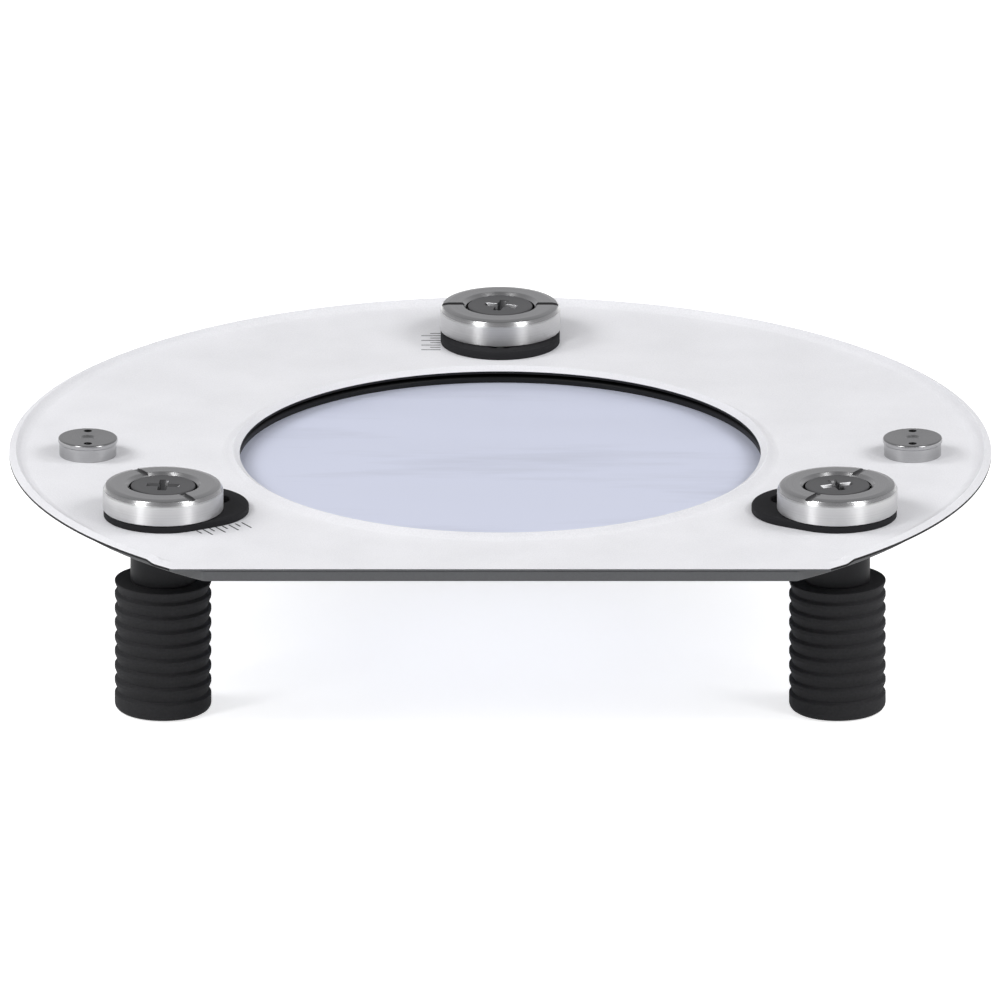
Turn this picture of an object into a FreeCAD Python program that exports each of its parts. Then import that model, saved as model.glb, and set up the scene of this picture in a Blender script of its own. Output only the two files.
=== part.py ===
"""Clip-on solar filter for one objective of a pair of binoculars.

A round metal mask with one straight side holds a disc of reflective film
over the objective.  Three rubber-sleeved fingers hang below the mask and
grip the barrel from outside.  Each finger hangs in a radial slot and is
clamped from above by a turned disc and a screw, so the mask fits barrels
of several diameters.

Lengths are millimetres.  The origin lies on the optical axis, in the plane
that the three finger tips stand on.  +Z points to the sky side of the mask,
and the straight side of the mask lies towards -Y.
"""
import FreeCAD, Part
import os

V = FreeCAD.Vector

# The clear aperture sets the size of the mask: the rings, the fingers, the
# bezels and the rim follow outwards from it, each with its own gap.
aperture_radius = 35.0
sheet_thickness = 0.4
corner_round = 0.8
flat_side_wall = 10.9         # back plate between its bore and the straight side

# Raised bead pressed into the front sheet along its rim and its aperture.
bead_width = 2.2
bead_height = 0.8
bead_crest_inset = 0.92       # crest to the free edge
bead_knee_inset = 1.5         # knee of the hollow foot to the free edge
bead_knee_height = 0.27
aperture_lip = 0.23           # height of the free edge over the flat, round the aperture
rim_lip = 0.37                # the same along the rim
bead_end_distance = 2.1       # rim bead stops this far before the straight side
bead_end_run = 1.6            # length over which it rises to its full height
bead_foot_step = 0.2          # hollow under a bead starts inside its foot

# Back plate behind the sheet.
back_thickness = 1.4
back_inset = 2.8              # sheet overhangs the back plate by this much

# Two turned rings that pinch the film in the back plate's bore.
film_thickness = 0.1
ring_step = 0.2               # ring bore is this much wider than the aperture
ring_wall = 2.8
ring_fit = 0.1
ring_nose_drop = 0.32         # nose of the front ring lies below its shoulder
ring_shoulder_width = 1.0
ring_nose_round = 0.3
rear_land = 0.18              # rear ring's spigot inside the bore
rear_flange_width = 0.9
rear_flange_thickness = 0.8

# Radial slots and the travel of the fingers in them.
finger_names = ("back", "left", "right")   # evenly spaced
back_finger_angle = 90.0      # degrees from the x axis
finger_travel = 7.8
finger_rest_inward = {"back": 1.4, "left": 0.0, "right": 0.0}
slot_fit = 0.1                # play of the screw in the slot
slot_end_gap = 0.1

# Black bezels that line the slots.
collar_wall = 0.6
collar_fit = 0.05
bezel_half_width = 8.0
bezel_rim_gap = 3.5           # bezel's outer end to the foot of the rim bead
bezel_thickness = 1.0
bezel_inner_lip = 1.5
bezel_edge_round = 0.25

# Clamp discs on top.
disc_overhang = 0.1           # past the sides of the bezel
disc_thickness = 3.5
disc_chamfer = 0.7
head_gap = 0.42               # round the screw's head, in the head bore
head_bore_depth = 2.4
head_bore_chamfer = 0.45
index_groove_width = 1.0
index_groove_depth = 0.4

# Clamp screws with a cross recess.
screw_radius = 2.0
screw_fit = 0.05
screw_length = 10.0           # below the head
screw_end_chamfer = 0.8
head_radius = 4.2
head_sink = 0.23              # head top lies this far below the disc's top
head_round = 0.3
recess_span = 4.7
recess_arm = 0.95
recess_depth = 1.5
recess_tip_span = 1.6
recess_turn = {"back": -16.0, "left": -6.0, "right": 21.0}   # from the x axis, as left by the driver

# Finger posts under the mask.
shoulder_radius = 5.3
shoulder_thickness = 1.2
shoulder_gap = 0.3            # to the rear ring's flange, with the finger fully in
neck_radius = 4.4
neck_length = 7.25            # back plate to the top of the sleeve
core_radius = 3.0
core_end_cover = 2.2          # rubber below the end of the core
tap_run_out = 1.0

# Rubber sleeves with ring-shaped ribs.
sleeve_length = 18.2
sleeve_radius = 6.5
sleeve_fit = 0.05
rib_depth = 0.4
rib_notches = 8
top_band = 1.43
tip_band = 2.66
rib_ledge = 0.5
tip_round = 1.0

# Two studs that join the sheet and the back plate, with their nuts.
stud_rim_gap = 4.4            # stud's head to the foot of the rim bead
stud_head_radius = 4.0
stud_head_height = 2.4
stud_edge_round = 0.35
spanner_hole_radius = 0.55
spanner_hole_offset = 2.7
spanner_hole_depth = 1.2
stud_dimple_radius = 1.2
stud_dimple_depth = 0.3
stud_shank_radius = 2.0
stud_hole_fit = 0.1
nut_radius = 4.0
nut_thickness = 1.6
nut_thread_fit = 0.02
nut_slot_width = 1.0
nut_slot_depth = 0.6

# Flats in a small turned round and in a rubber tip's round.
small_flat_count = 1
tip_flat_count = 2

# How far a cutter runs past the face that it cuts.
cutter_overrun = 1.0

# Heights that follow from the stack of pieces, from the tips upwards.
sleeve_top = sleeve_length
back_bottom = sleeve_top + neck_length
back_top = back_bottom + back_thickness
sheet_top = back_top + sheet_thickness
bezel_top = sheet_top + bezel_thickness
disc_top = bezel_top + disc_thickness

# Radii that follow from the fits, from the aperture outwards.
ring_inner = aperture_radius + ring_step
ring_outer = ring_inner + ring_wall
back_bore = ring_outer + ring_fit
rear_flange_radius = ring_outer + rear_flange_width
inner_finger_radius = rear_flange_radius + shoulder_gap + shoulder_radius
outer_finger_radius = inner_finger_radius + finger_travel
rim_bead_foot = outer_finger_radius + bezel_half_width + bezel_rim_gap
mask_radius = rim_bead_foot + bead_width
back_radius = mask_radius - back_inset
flat_side_distance = back_bore + flat_side_wall   # optical axis to the straight side
stud_distance = rim_bead_foot - stud_rim_gap - stud_head_radius
disc_radius = bezel_half_width + disc_overhang
head_bore_radius = head_radius + head_gap
slot_half_width = screw_radius + slot_fit
slot_outer_centre = outer_finger_radius + slot_end_gap
slot_inner_centre = inner_finger_radius - slot_end_gap
collar_half_width = slot_half_width + collar_wall
plate_slot_half_width = collar_half_width + collar_fit
bezel_inner_centre = slot_inner_centre - collar_half_width - bezel_inner_lip + bezel_half_width

# Directions of the fingers, in degrees from the x axis.
finger_angles = {name: back_finger_angle + 360.0 * place / len(finger_names)
                 for place, name in enumerate(finger_names)}


def line(a, b):
    """Straight edge between two (x, z) points of a profile."""
    return Part.LineSegment(V(a[0], 0, a[1]), V(b[0], 0, b[1])).toShape()


def turned(points):
    """Solid of revolution about the z axis from a closed (radius, z) outline."""
    loop = points + points[:1]
    edges = [line(a, b) for a, b in zip(loop, loop[1:])]
    return Part.Face(Part.Wire(edges)).revolve(V(0, 0, 0), V(0, 0, 1), 360)


def tube(inner, outer, low, high):
    """Plain ring about the z axis."""
    return turned([(inner, low), (outer, low), (outer, high), (inner, high)])


def rod(radius, low, high, x=0.0, y=0.0):
    """Plain round bar parallel to the z axis."""
    return Part.makeCylinder(radius, high - low, V(x, y, low))


def rounded(radius, height, size, inwards, upwards, flats):
    """Round corner of an outline, as a chain of short flats: (radius, z) points.

    The sharp corner lies at (radius, height).  The round starts on the upright
    side and ends on the level side.  inwards and upwards are 1 or -1 and say
    on which side of the corner the material lies.
    """
    centre = V(radius - inwards * size, height + upwards * size, 0)
    points = []
    for k in range(flats + 1):
        spoke = V(size, 0, 0)
        spoke = FreeCAD.Rotation(V(0, 0, 1), 90.0 * k / flats).multVec(spoke)
        points.append((centre.x + inwards * spoke.x, centre.y - upwards * spoke.y))
    return points


def obround(inner, outer, half_width, low, high):
    """Slot-shaped prism along +X, round at both ends."""
    path = Part.Wire([
        Part.LineSegment(V(inner, -half_width, low), V(outer, -half_width, low)).toShape(),
        Part.Arc(V(outer, -half_width, low), V(outer + half_width, 0, low),
                 V(outer, half_width, low)).toShape(),
        Part.LineSegment(V(outer, half_width, low), V(inner, half_width, low)).toShape(),
        Part.Arc(V(inner, half_width, low), V(inner - half_width, 0, low),
                 V(inner, -half_width, low)).toShape(),
    ])
    return Part.Face(path).extrude(V(0, 0, high - low))


def turn_to(shape, name):
    """Copy of a shape built along +X, turned to a finger's direction."""
    copy = shape.copy()
    copy.rotate(V(0, 0, 0), V(0, 0, 1), finger_angles[name])
    return copy


def finger_radius(name):
    """Distance of a finger's axis from the optical axis, as stored."""
    return outer_finger_radius - finger_rest_inward[name]


def at_finger(shape, name):
    """Copy of a shape built about the z axis, moved onto a finger's axis."""
    copy = shape.copy()
    copy.translate(V(finger_radius(name), 0, 0))
    return turn_to(copy, name)


def mask_outline(radius, low, high):
    """Disc with one straight side and softened corners."""
    disc = rod(radius, low, high)
    keep = Part.makeBox(4 * radius, 4 * radius, high - low,
                        V(-2 * radius, -flat_side_distance, low))
    shape = disc.common(keep)
    corners = [e for e in shape.Edges
               if abs(e.Vertexes[0].Z - e.Vertexes[-1].Z) > 0.5 * (high - low)
               and abs(e.Vertexes[0].Y + flat_side_distance) < 1e-6]
    return shape.makeFillet(corner_round, corners)


def bead(lip):
    """Upper skin of a bead: (distance from the free edge, height over the flat) points.

    A straight slope rises from the free edge to a crisp crest, and behind the
    crest the skin sinks through a hollow foot to the flat.
    """
    return [(0.0, lip), (bead_crest_inset, bead_height), (bead_knee_inset, bead_knee_height), (bead_width, 0.0)]


def front_section():
    """Outline of the pressed sheet's section, flat underneath at the rim."""
    bore, rim = aperture_radius, mask_radius
    inner_bead = [(bore + inset, sheet_top + rise) for inset, rise in bead(aperture_lip)]
    rim_bead = [(rim - inset, sheet_top + rise) for inset, rise in reversed(bead(rim_lip))]
    under = [
        (rim, back_top),
        (bore + bead_width - bead_foot_step, back_top),
        (bore + bead_crest_inset, back_top + bead_height),
        (bore, back_top + aperture_lip),
    ]
    return inner_bead + rim_bead + under


def rim_hollow(low):
    """Space under the rim bead, open at the free edge."""
    beyond = mask_radius + bead_width
    return turned([
        (rim_bead_foot + bead_foot_step, low),
        (rim_bead_foot + bead_foot_step, back_top),
        (mask_radius - bead_crest_inset, back_top + bead_height),
        (mask_radius, back_top + rim_lip),
        (beyond, back_top + rim_lip),
        (beyond, low),
    ])


def above_bead_ends(high):
    """Space over the flat strip along the straight side, with sloping bead ends."""
    near = -2 * mask_radius
    end = bead_end_distance - flat_side_distance
    run = bead_end_run * (high - sheet_top) / bead_height
    corners = [(near, sheet_top), (end, sheet_top), (end + run, high), (near, high)]
    loop = [V(near, y, z) for y, z in corners]
    face = Part.Face(Part.makePolygon(loop + loop[:1]))
    return face.extrude(V(4 * mask_radius, 0, 0))


def slots_for_collars(low, high):
    """Three slots that take the bezels' collars."""
    cut = obround(slot_inner_centre, slot_outer_centre, plate_slot_half_width, low, high)
    return [turn_to(cut, name) for name in finger_angles]


def stud_holes(low, high):
    """Two holes for the joining studs."""
    hole = stud_shank_radius + stud_hole_fit
    return [rod(hole, low, high, side * stud_distance) for side in (-1, 1)]


def front_plate():
    """Pressed sheet with a bead along the rim and round the aperture."""
    low, high = back_top - cutter_overrun, sheet_top + bead_height + cutter_overrun
    sheet = turned(front_section()).cut(above_bead_ends(high))
    hollow_end = bead_end_distance - flat_side_distance + bead_end_run
    kept = Part.makeBox(4 * mask_radius, 4 * mask_radius, high - low,
                        V(-2 * mask_radius, hollow_end, low))
    sheet = sheet.cut(rim_hollow(low).common(kept))
    sheet = sheet.common(mask_outline(mask_radius, low, high))
    for tool in slots_for_collars(low, high) + stud_holes(low, high):
        sheet = sheet.cut(tool)
    return sheet


def back_plate():
    """Flat backing plate with the bore for the film rings."""
    plate = mask_outline(back_radius, back_bottom, back_top)
    low, high = back_bottom - cutter_overrun, back_top + cutter_overrun
    plate = plate.cut(rod(back_bore, low, high))
    for tool in slots_for_collars(low, high) + stud_holes(low, high):
        plate = plate.cut(tool)
    return plate


def film_ring_front():
    """Ring in front of the film: a shoulder under the sheet and a rounded nose."""
    film_top = back_bottom + rear_land + film_thickness
    shoulder_inner = ring_outer - ring_shoulder_width
    nose = rounded(ring_inner, back_top - ring_nose_drop, ring_nose_round, -1, -1, small_flat_count)
    return turned([
        (ring_inner, film_top),
        (ring_outer, film_top),
        (ring_outer, back_top),
        (shoulder_inner, back_top),
        (shoulder_inner, back_top - ring_nose_drop),
    ] + nose[::-1])


def film():
    """Disc of reflective film, pinched between the two rings."""
    low = back_bottom + rear_land
    return rod(ring_outer, low, low + film_thickness)


def film_ring_rear():
    """Ring behind the film, with a flange that seats on the barrel's rim."""
    flange_low = back_bottom - rear_flange_thickness
    return turned([
        (ring_inner, flange_low),
        (rear_flange_radius, flange_low),
        (rear_flange_radius, back_bottom),
        (ring_outer, back_bottom),
        (ring_outer, back_bottom + rear_land),
        (ring_inner, back_bottom + rear_land),
    ])


def slot_bezel(name):
    """Flange on the sheet and a collar that lines the slot in both plates."""
    flange = obround(bezel_inner_centre, outer_finger_radius, bezel_half_width,
                     sheet_top, bezel_top)
    rim = [e for e in flange.Edges
           if min(v.Z for v in e.Vertexes) > bezel_top - 1e-6]
    flange = flange.makeChamfer(bezel_edge_round, rim)
    collar = obround(slot_inner_centre, slot_outer_centre, collar_half_width,
                     back_bottom, sheet_top)
    slot = obround(slot_inner_centre, slot_outer_centre, slot_half_width,
                   back_bottom - cutter_overrun, bezel_top + cutter_overrun)
    return turn_to(flange.fuse(collar).cut(slot).removeSplitter(), name)


def clamp_disc(name):
    """Turned disc with a head bore and an index groove square to the slot."""
    floor = disc_top - head_bore_depth
    disc = turned([
        (screw_radius + screw_fit, bezel_top),
        (disc_radius, bezel_top),
        (disc_radius, disc_top - disc_chamfer),
        (disc_radius - disc_chamfer, disc_top),
        (head_bore_radius + head_bore_chamfer, disc_top),
        (head_bore_radius, disc_top - head_bore_chamfer),
        (head_bore_radius, floor),
        (screw_radius + screw_fit, floor),
    ])
    groove = Part.makeBox(index_groove_width, 4 * disc_radius, 2 * index_groove_depth,
                          V(-index_groove_width / 2, -2 * disc_radius,
                            disc_top - index_groove_depth))
    return at_finger(disc.cut(groove), name)


def clamp_screw(name):
    """Screw with a flat round head and a tapered cross recess."""
    seat = disc_top - head_bore_depth
    head_top = disc_top - head_sink
    head_edge = rounded(head_radius, head_top, head_round, 1, -1, small_flat_count)
    screw = turned([
        (0, seat - screw_length),
        (screw_radius - screw_end_chamfer, seat - screw_length),
        (screw_radius, seat - screw_length + screw_end_chamfer),
        (screw_radius, seat),
        (head_radius, seat),
    ] + head_edge + [(0, head_top)])
    recess = Part.makeCone(recess_tip_span / 2, recess_span / 2, recess_depth,
                           V(0, 0, head_top - recess_depth))
    arms = Part.makeBox(recess_span, recess_arm, recess_depth,
                        V(-recess_span / 2, -recess_arm / 2, head_top - recess_depth))
    across = arms.copy()
    across.rotate(V(0, 0, 0), V(0, 0, 1), 90)
    cross = recess.common(arms.fuse(across))
    cross.rotate(V(0, 0, 0), V(0, 0, 1), recess_turn[name] - finger_angles[name])
    return at_finger(screw.cut(cross), name)


def finger_post(name):
    """Post with a shoulder under the slot, a neck and a core for the rubber."""
    tap = screw_radius + screw_fit
    tap_end = disc_top - head_bore_depth - screw_length - tap_run_out
    post = turned([
        (0, core_end_cover),
        (core_radius, core_end_cover),
        (core_radius, sleeve_top),
        (neck_radius, sleeve_top),
        (neck_radius, back_bottom - shoulder_thickness),
        (shoulder_radius, back_bottom - shoulder_thickness),
        (shoulder_radius, back_bottom),
        (tap, back_bottom),
        (tap, tap_end),
        (0, tap_end - tap),
    ])
    return at_finger(post, name)


def sleeve_profile():
    """Outside of the rubber from the top down: (radius, height) points.

    Each rib starts with a ledge that faces up and then tapers inwards to the
    next notch.
    """
    notch_radius = sleeve_radius - rib_depth
    pitch = (sleeve_length - top_band - tip_band) / (rib_notches - 1)
    points = [(sleeve_radius, sleeve_top)]
    for k in range(rib_notches):
        notch = sleeve_top - top_band - k * pitch
        points.append((notch_radius, notch))
        points.append((sleeve_radius, notch - rib_ledge))
    return points + rounded(sleeve_radius, 0.0, tip_round, 1, 1, tip_flat_count)


def finger_sleeve(name):
    """Ribbed rubber sleeve, closed at the tip and pushed onto the post's core."""
    bore = core_radius + sleeve_fit
    outline = sleeve_profile() + [(0, 0), (0, core_end_cover), (bore, core_end_cover),
                                  (bore, sleeve_top)]
    clean = [p for p, q in zip(outline, outline[1:] + outline[:1]) if p != q]
    return at_finger(turned(clean), name)


def joining_stud(side):
    """Turned stud with two spanner holes and a centre dimple."""
    head_top = sheet_top + stud_head_height
    above = head_top + cutter_overrun
    stud = turned([
        (0, back_bottom - nut_thickness),
        (stud_shank_radius, back_bottom - nut_thickness),
        (stud_shank_radius, sheet_top),
        (stud_head_radius, sheet_top),
    ] + rounded(stud_head_radius, head_top, stud_edge_round, 1, -1, small_flat_count) + [(0, head_top)])
    for sign in (-1, 1):
        stud = stud.cut(rod(spanner_hole_radius, head_top - spanner_hole_depth, above,
                            0.0, sign * spanner_hole_offset))
    stud = stud.cut(rod(stud_dimple_radius, head_top - stud_dimple_depth, above))
    stud.translate(V(side * stud_distance, 0, 0))
    return stud


def joining_nut(side):
    """Round nut behind the back plate with a driver slot across its face."""
    low = back_bottom - nut_thickness
    nut = tube(stud_shank_radius + nut_thread_fit, nut_radius, low, back_bottom)
    nut = nut.cut(Part.makeBox(nut_slot_width, 4 * nut_radius, 2 * nut_slot_depth,
                               V(-nut_slot_width / 2, -2 * nut_radius, low - nut_slot_depth)))
    nut.translate(V(side * stud_distance, 0, 0))
    return nut


def build():
    """Every piece by its node's name."""
    nodes = {
        "front_plate": front_plate(),
        "back_plate": back_plate(),
        "film_ring_front": film_ring_front(),
        "solar_film": film(),
        "film_ring_rear": film_ring_rear(),
    }
    for name in finger_angles:
        nodes["slot_bezel_" + name] = slot_bezel(name)
        nodes["clamp_disc_" + name] = clamp_disc(name)
        nodes["clamp_screw_" + name] = clamp_screw(name)
        nodes["finger_post_" + name] = finger_post(name)
        nodes["finger_sleeve_" + name] = finger_sleeve(name)
    for side, word in ((-1, "left"), (1, "right")):
        nodes["joining_stud_" + word] = joining_stud(side)
        nodes["joining_nut_" + word] = joining_nut(side)
    return nodes


os.makedirs("parts", exist_ok=True)
for node, shape in build().items():
    if shape.ShapeType == "Compound" and len(shape.Solids) == 1:
        shape = shape.Solids[0]
    box = shape.BoundBox
    print(node, "solids", len(shape.Solids), "valid", shape.isValid(),
          "volume", round(shape.Volume, 2),
          "x", round(box.XMin, 2), round(box.XMax, 2),
          "y", round(box.YMin, 2), round(box.YMax, 2),
          "z", round(box.ZMin, 2), round(box.ZMax, 2))
    shape.exportStep("parts/" + node + ".step")
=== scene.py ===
# %% [markdown]
# # Solar filter for a binocular objective
#
# The object is a round mask with one straight side.  A disc of reflective
# film sits in its middle, and three rubber-sleeved fingers hang below it and
# grip the barrel.  Every part was either pressed from sheet or turned on a
# lathe, so nearly every shape here is one outline carried round an axis.
# That is worked out with numpy as whole arrays.  Only what a cutter would
# make on the real part, such as a slot, a groove or a screw recess, is made
# here with a cutter too.

import bpy
import numpy as np
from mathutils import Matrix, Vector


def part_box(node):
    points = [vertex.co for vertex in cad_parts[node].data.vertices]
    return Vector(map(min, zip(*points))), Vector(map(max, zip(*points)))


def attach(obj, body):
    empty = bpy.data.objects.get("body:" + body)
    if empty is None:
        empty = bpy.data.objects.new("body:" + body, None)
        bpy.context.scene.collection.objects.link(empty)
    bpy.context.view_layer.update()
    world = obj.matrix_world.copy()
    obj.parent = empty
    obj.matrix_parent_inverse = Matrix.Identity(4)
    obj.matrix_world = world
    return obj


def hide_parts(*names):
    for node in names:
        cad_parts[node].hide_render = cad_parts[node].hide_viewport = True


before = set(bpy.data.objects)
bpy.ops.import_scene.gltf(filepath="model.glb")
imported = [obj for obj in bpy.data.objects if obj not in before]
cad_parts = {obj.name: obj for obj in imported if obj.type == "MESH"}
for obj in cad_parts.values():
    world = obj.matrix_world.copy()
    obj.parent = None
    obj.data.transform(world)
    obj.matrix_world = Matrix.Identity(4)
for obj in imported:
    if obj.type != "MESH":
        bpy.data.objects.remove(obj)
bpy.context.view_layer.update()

# %% [markdown]
# ## Sizes
#
# All outlines are written in millimetres, because that is how a turner reads
# a drawing, and become metres only when a mesh is made.  The heights that
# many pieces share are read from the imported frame, so that each piece seats
# on its neighbour.

# %% Sizes that several pieces share, in millimetres
MM = 0.001


def low_high(node):
    """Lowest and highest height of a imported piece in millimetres, rounded to a micrometre."""
    low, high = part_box(node)
    return round(low.z / MM, 3), round(high.z / MM, 3)


BACK_BOTTOM, BACK_TOP = low_high("back_plate")
FILM_LOW, FILM_TOP = low_high("solar_film")
SHEET_TOP = BACK_TOP + 0.4
BEZEL_TOP = low_high("slot_bezel_left")[1]
DISC_TOP = low_high("clamp_disc_left")[1]
MASK_RADIUS = 66.0
APERTURE_RADIUS = 35.0
STRAIGHT_SIDE = -49.0
RING_BORE, RING_RADIUS = 35.2, 38.0
SLOT_INNER, SLOT_OUTER = 44.4, 52.4
SHANK_RADIUS, SHANK_BORE = 2.0, 2.05
STUD_DISTANCE = 55.4

# each finger: direction in degrees, distance from the axis at rest, angle of the screw's cross
FINGERS = {
    "back": (90.0, 50.9, -16.0),
    "left": (210.0, 52.3, -6.0),
    "right": (330.0, 52.3, 21.0),
}
print("plate", BACK_BOTTOM, BACK_TOP, "bezel", BEZEL_TOP, "disc", DISC_TOP)

# %% [markdown]
# ## From an outline to a turned shape
#
# No edge on a real part is a mathematical line: a file, a tumbling drum or a
# coat of paint takes it off.  The first helper rounds every corner of an
# outline and puts a supporting point beside each round, so that smooth
# shading stays on the round and the flats stay flat.  The second helper
# turns an outline about an upright axis.

# %% Outline helpers


def eased(corners, radii, flats=3, closed=True):
    """Outline with rounded corners.

    With u and v the unit vectors from a corner to its neighbours and h half
    the angle between them, the round of radius r starts r / tan(h) along u
    and v.  Its centre lies on the bisector, that length over cos(h) away.
    """
    all_points = np.asarray(corners, float)
    r = np.broadcast_to(np.asarray(radii, float), len(all_points))[:, None]
    before = np.roll(all_points, 1, 0) - all_points
    after = np.roll(all_points, -1, 0) - all_points
    p = all_points
    if not closed:
        p, r, before, after = p[1:-1], r[1:-1], before[1:-1], after[1:-1]
    to_before = np.linalg.norm(before, axis=1, keepdims=True)
    to_after = np.linalg.norm(after, axis=1, keepdims=True)
    u, v = before / to_before, after / to_after
    half = np.arccos(np.clip((u * v).sum(1, keepdims=True), -1, 1)) / 2
    reach = np.minimum(r / np.tan(half), 0.4 * np.minimum(to_before, to_after))
    radius = reach * np.tan(half)
    bisector = (u + v) / np.linalg.norm(u + v, axis=1, keepdims=True)
    centre = p + bisector * reach / np.cos(half)
    start, end = (p + u * reach - centre) / radius, (p + v * reach - centre) / radius
    turn = (np.pi - 2 * half)[:, None, :]
    s = np.linspace(0, 1, flats + 1)[None, :, None]
    spokes = np.sin((1 - s) * turn) * start[:, None] + np.sin(s * turn) * end[:, None]
    arcs = centre[:, None] + radius[:, None] * spokes / np.sin(turn)
    lead_in = p + u * np.minimum(reach + 0.1, 0.48 * to_before)
    lead_out = p + v * np.minimum(reach + 0.1, 0.48 * to_after)
    chain = np.concatenate([lead_in[:, None], arcs, lead_out[:, None]], axis=1).reshape(-1, 2)
    if not closed:
        chain = np.vstack([all_points[:1], chain, all_points[-1:]])
    return chain


def ring_faces(count, around, closed):
    """Quads between neighbouring rings of a (count x around) grid of points.

    Corner order: this ring, one step round, the same step on the next ring,
    and back.  For an outline that runs anticlockwise this faces outwards.
    """
    i = np.arange(count if closed else count - 1)[:, None]
    k = np.arange(around)[None, :]
    j, m = (i + 1) % count, (k + 1) % around
    return np.stack([i * around + k, i * around + m, j * around + m, j * around + k], -1).reshape(-1, 4)


def ring_uv(lengths, around):
    """UV of the same quads: u is the share of a turn, v the length along the outline in mm."""
    v0, v1 = lengths[:-1], lengths[1:]
    u0 = np.arange(around) / around
    u1 = u0 + 1 / around
    u = np.broadcast_to(np.stack([u0, u1, u1, u0], -1)[None], (len(v0), around, 4))
    v = np.broadcast_to(np.stack([v0, v0, v1, v1], -1)[:, None], (len(v0), around, 4))
    return np.stack([u, v], -1).reshape(-1, 4, 2)


def fan_uv(pole, ring, around):
    """UV of the triangles between a pole and its ring: the pole, one step of the ring, the next."""
    u0 = np.arange(around) / around
    u = np.stack([u0 + 0.5 / around, u0, u0 + 1 / around], -1)
    v = np.broadcast_to([pole, ring, ring], u.shape)
    return np.stack([u, v], -1)


def make_mesh_object(name, points, faces, uv=None):
    """Object at the origin from points in millimetres, with the turning UV where it has one."""
    mesh = bpy.data.meshes.new(name)
    mesh.from_pydata((np.asarray(points) * MM).tolist(), [], faces)
    if uv is not None:
        layer = mesh.uv_layers.new(name="turning")
        layer.uv.foreach_set("vector", np.asarray(uv, np.float32).ravel())
    mesh.validate()
    mesh.update()
    piece = bpy.data.objects.new(name, mesh)
    bpy.context.scene.collection.objects.link(piece)
    return piece


def turned(name, outline, around=128, centre=(0.0, 0.0), closed=True):
    """Turned shape: point (radius, z) becomes the ring (x + radius cos t, y + radius sin t, z).

    An outline that is not closed starts and ends on the axis.  Its two end
    points become single poles, each joined to its ring by a fan of triangles.
    """
    outline = np.asarray(outline, float)
    t = np.arange(around) * 2 * np.pi / around
    steps = np.diff(np.vstack([outline, outline[:1]]) if closed else outline, axis=0)
    lengths = np.concatenate([[0], np.cumsum(np.hypot(steps[:, 0], steps[:, 1]))])
    rings = outline if closed else outline[1:-1]
    x = centre[0] + rings[:, :1] * np.cos(t)
    y = centre[1] + rings[:, :1] * np.sin(t)
    z = np.broadcast_to(rings[:, 1:], x.shape)
    points = np.stack([x, y, z], -1).reshape(-1, 3)
    faces = ring_faces(len(rings), around, closed)
    uv = ring_uv(lengths if closed else lengths[1:-1], around).reshape(-1, 2)
    faces = faces.tolist()
    if not closed:
        k = np.arange(around)
        first, last = len(points), len(points) + 1
        top = (len(rings) - 1) * around
        points = np.vstack([points, [(*centre, outline[0, 1]), (*centre, outline[-1, 1])]])
        start_fan = np.stack([np.full(around, first), (k + 1) % around, k], -1)
        end_fan = np.stack([np.full(around, last), top + k, top + (k + 1) % around], -1)
        faces += start_fan.tolist() + end_fan.tolist()
        uv = np.vstack([uv, fan_uv(lengths[0], lengths[1], around)[:, [0, 2, 1]].reshape(-1, 2),
                        fan_uv(lengths[-1], lengths[-2], around).reshape(-1, 2)])
    return make_mesh_object(name, points, faces, uv)


# %% [markdown]
# ## Cutters
#
# A slot, a groove or a recess is cut out of the finished blank, as on the
# bench.  A cutter is a prism: one flat loop of points at several heights.
# The exact boolean keeps the blank's UV map and the materials of both sides.

# %% Cutter helpers


def lofted(name, loops):
    """Closed solid through a stack of loops, an array (levels x points x 3), lowest first.

    The loops run anticlockwise seen from above, and the end loops are closed
    by one flat face each.
    """
    loops = np.asarray(loops, float)
    levels, around = loops.shape[:2]
    faces = ring_faces(levels, around, False).tolist()
    faces.append(list(range(around))[::-1])
    faces.append(list(range((levels - 1) * around, levels * around)))
    return make_mesh_object(name, loops.reshape(-1, 3), faces)


def prism(name, loop, low, high):
    """Upright prism over an (n x 2) loop."""
    loop = np.asarray(loop, float)
    flat = np.ones((len(loop), 1))
    return lofted(name, [np.hstack([loop, flat * low]), np.hstack([loop, flat * high])])


def placed(points, angle, distance=0.0):
    """Points built along +X, moved out by a distance and turned to a direction in degrees."""
    points = np.asarray(points, float).copy()
    x, y = points[..., 0] + distance, points[..., 1].copy()
    a = np.radians(angle)
    points[..., 0] = x * np.cos(a) - y * np.sin(a)
    points[..., 1] = x * np.sin(a) + y * np.cos(a)
    return points


def circle_loop(radius, around=48, x=0.0, y=0.0):
    """Anticlockwise circle as an (n x 2) loop."""
    t = np.arange(around) * 2 * np.pi / around
    return np.stack([x + radius * np.cos(t), y + radius * np.sin(t)], 1)


def obround_loop(inner, outer, half_width, around=24, along=6):
    """Anticlockwise slot outline along +X: two straight sides and two half circles.

    inner, outer and half_width may be arrays of one length, and then there
    is one loop for each of their values.
    """
    inner, outer, w = (np.atleast_1d(np.asarray(q, float))[:, None] for q in (inner, outer, half_width))
    t = np.linspace(-np.pi / 2, np.pi / 2, around + 1)[None]
    s = np.linspace(0, 1, along + 1)[None, 1:-1]
    far = np.stack([outer + w * np.cos(t), w * np.sin(t)], -1)
    back = np.stack([outer + (inner - outer) * s, w + 0 * s], -1)
    near = np.stack([inner - w * np.cos(t), -w * np.sin(t)], -1)
    forth = np.stack([inner + (outer - inner) * s, -w + 0 * s], -1)
    return np.concatenate([far, back, near, forth], axis=1)


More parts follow.
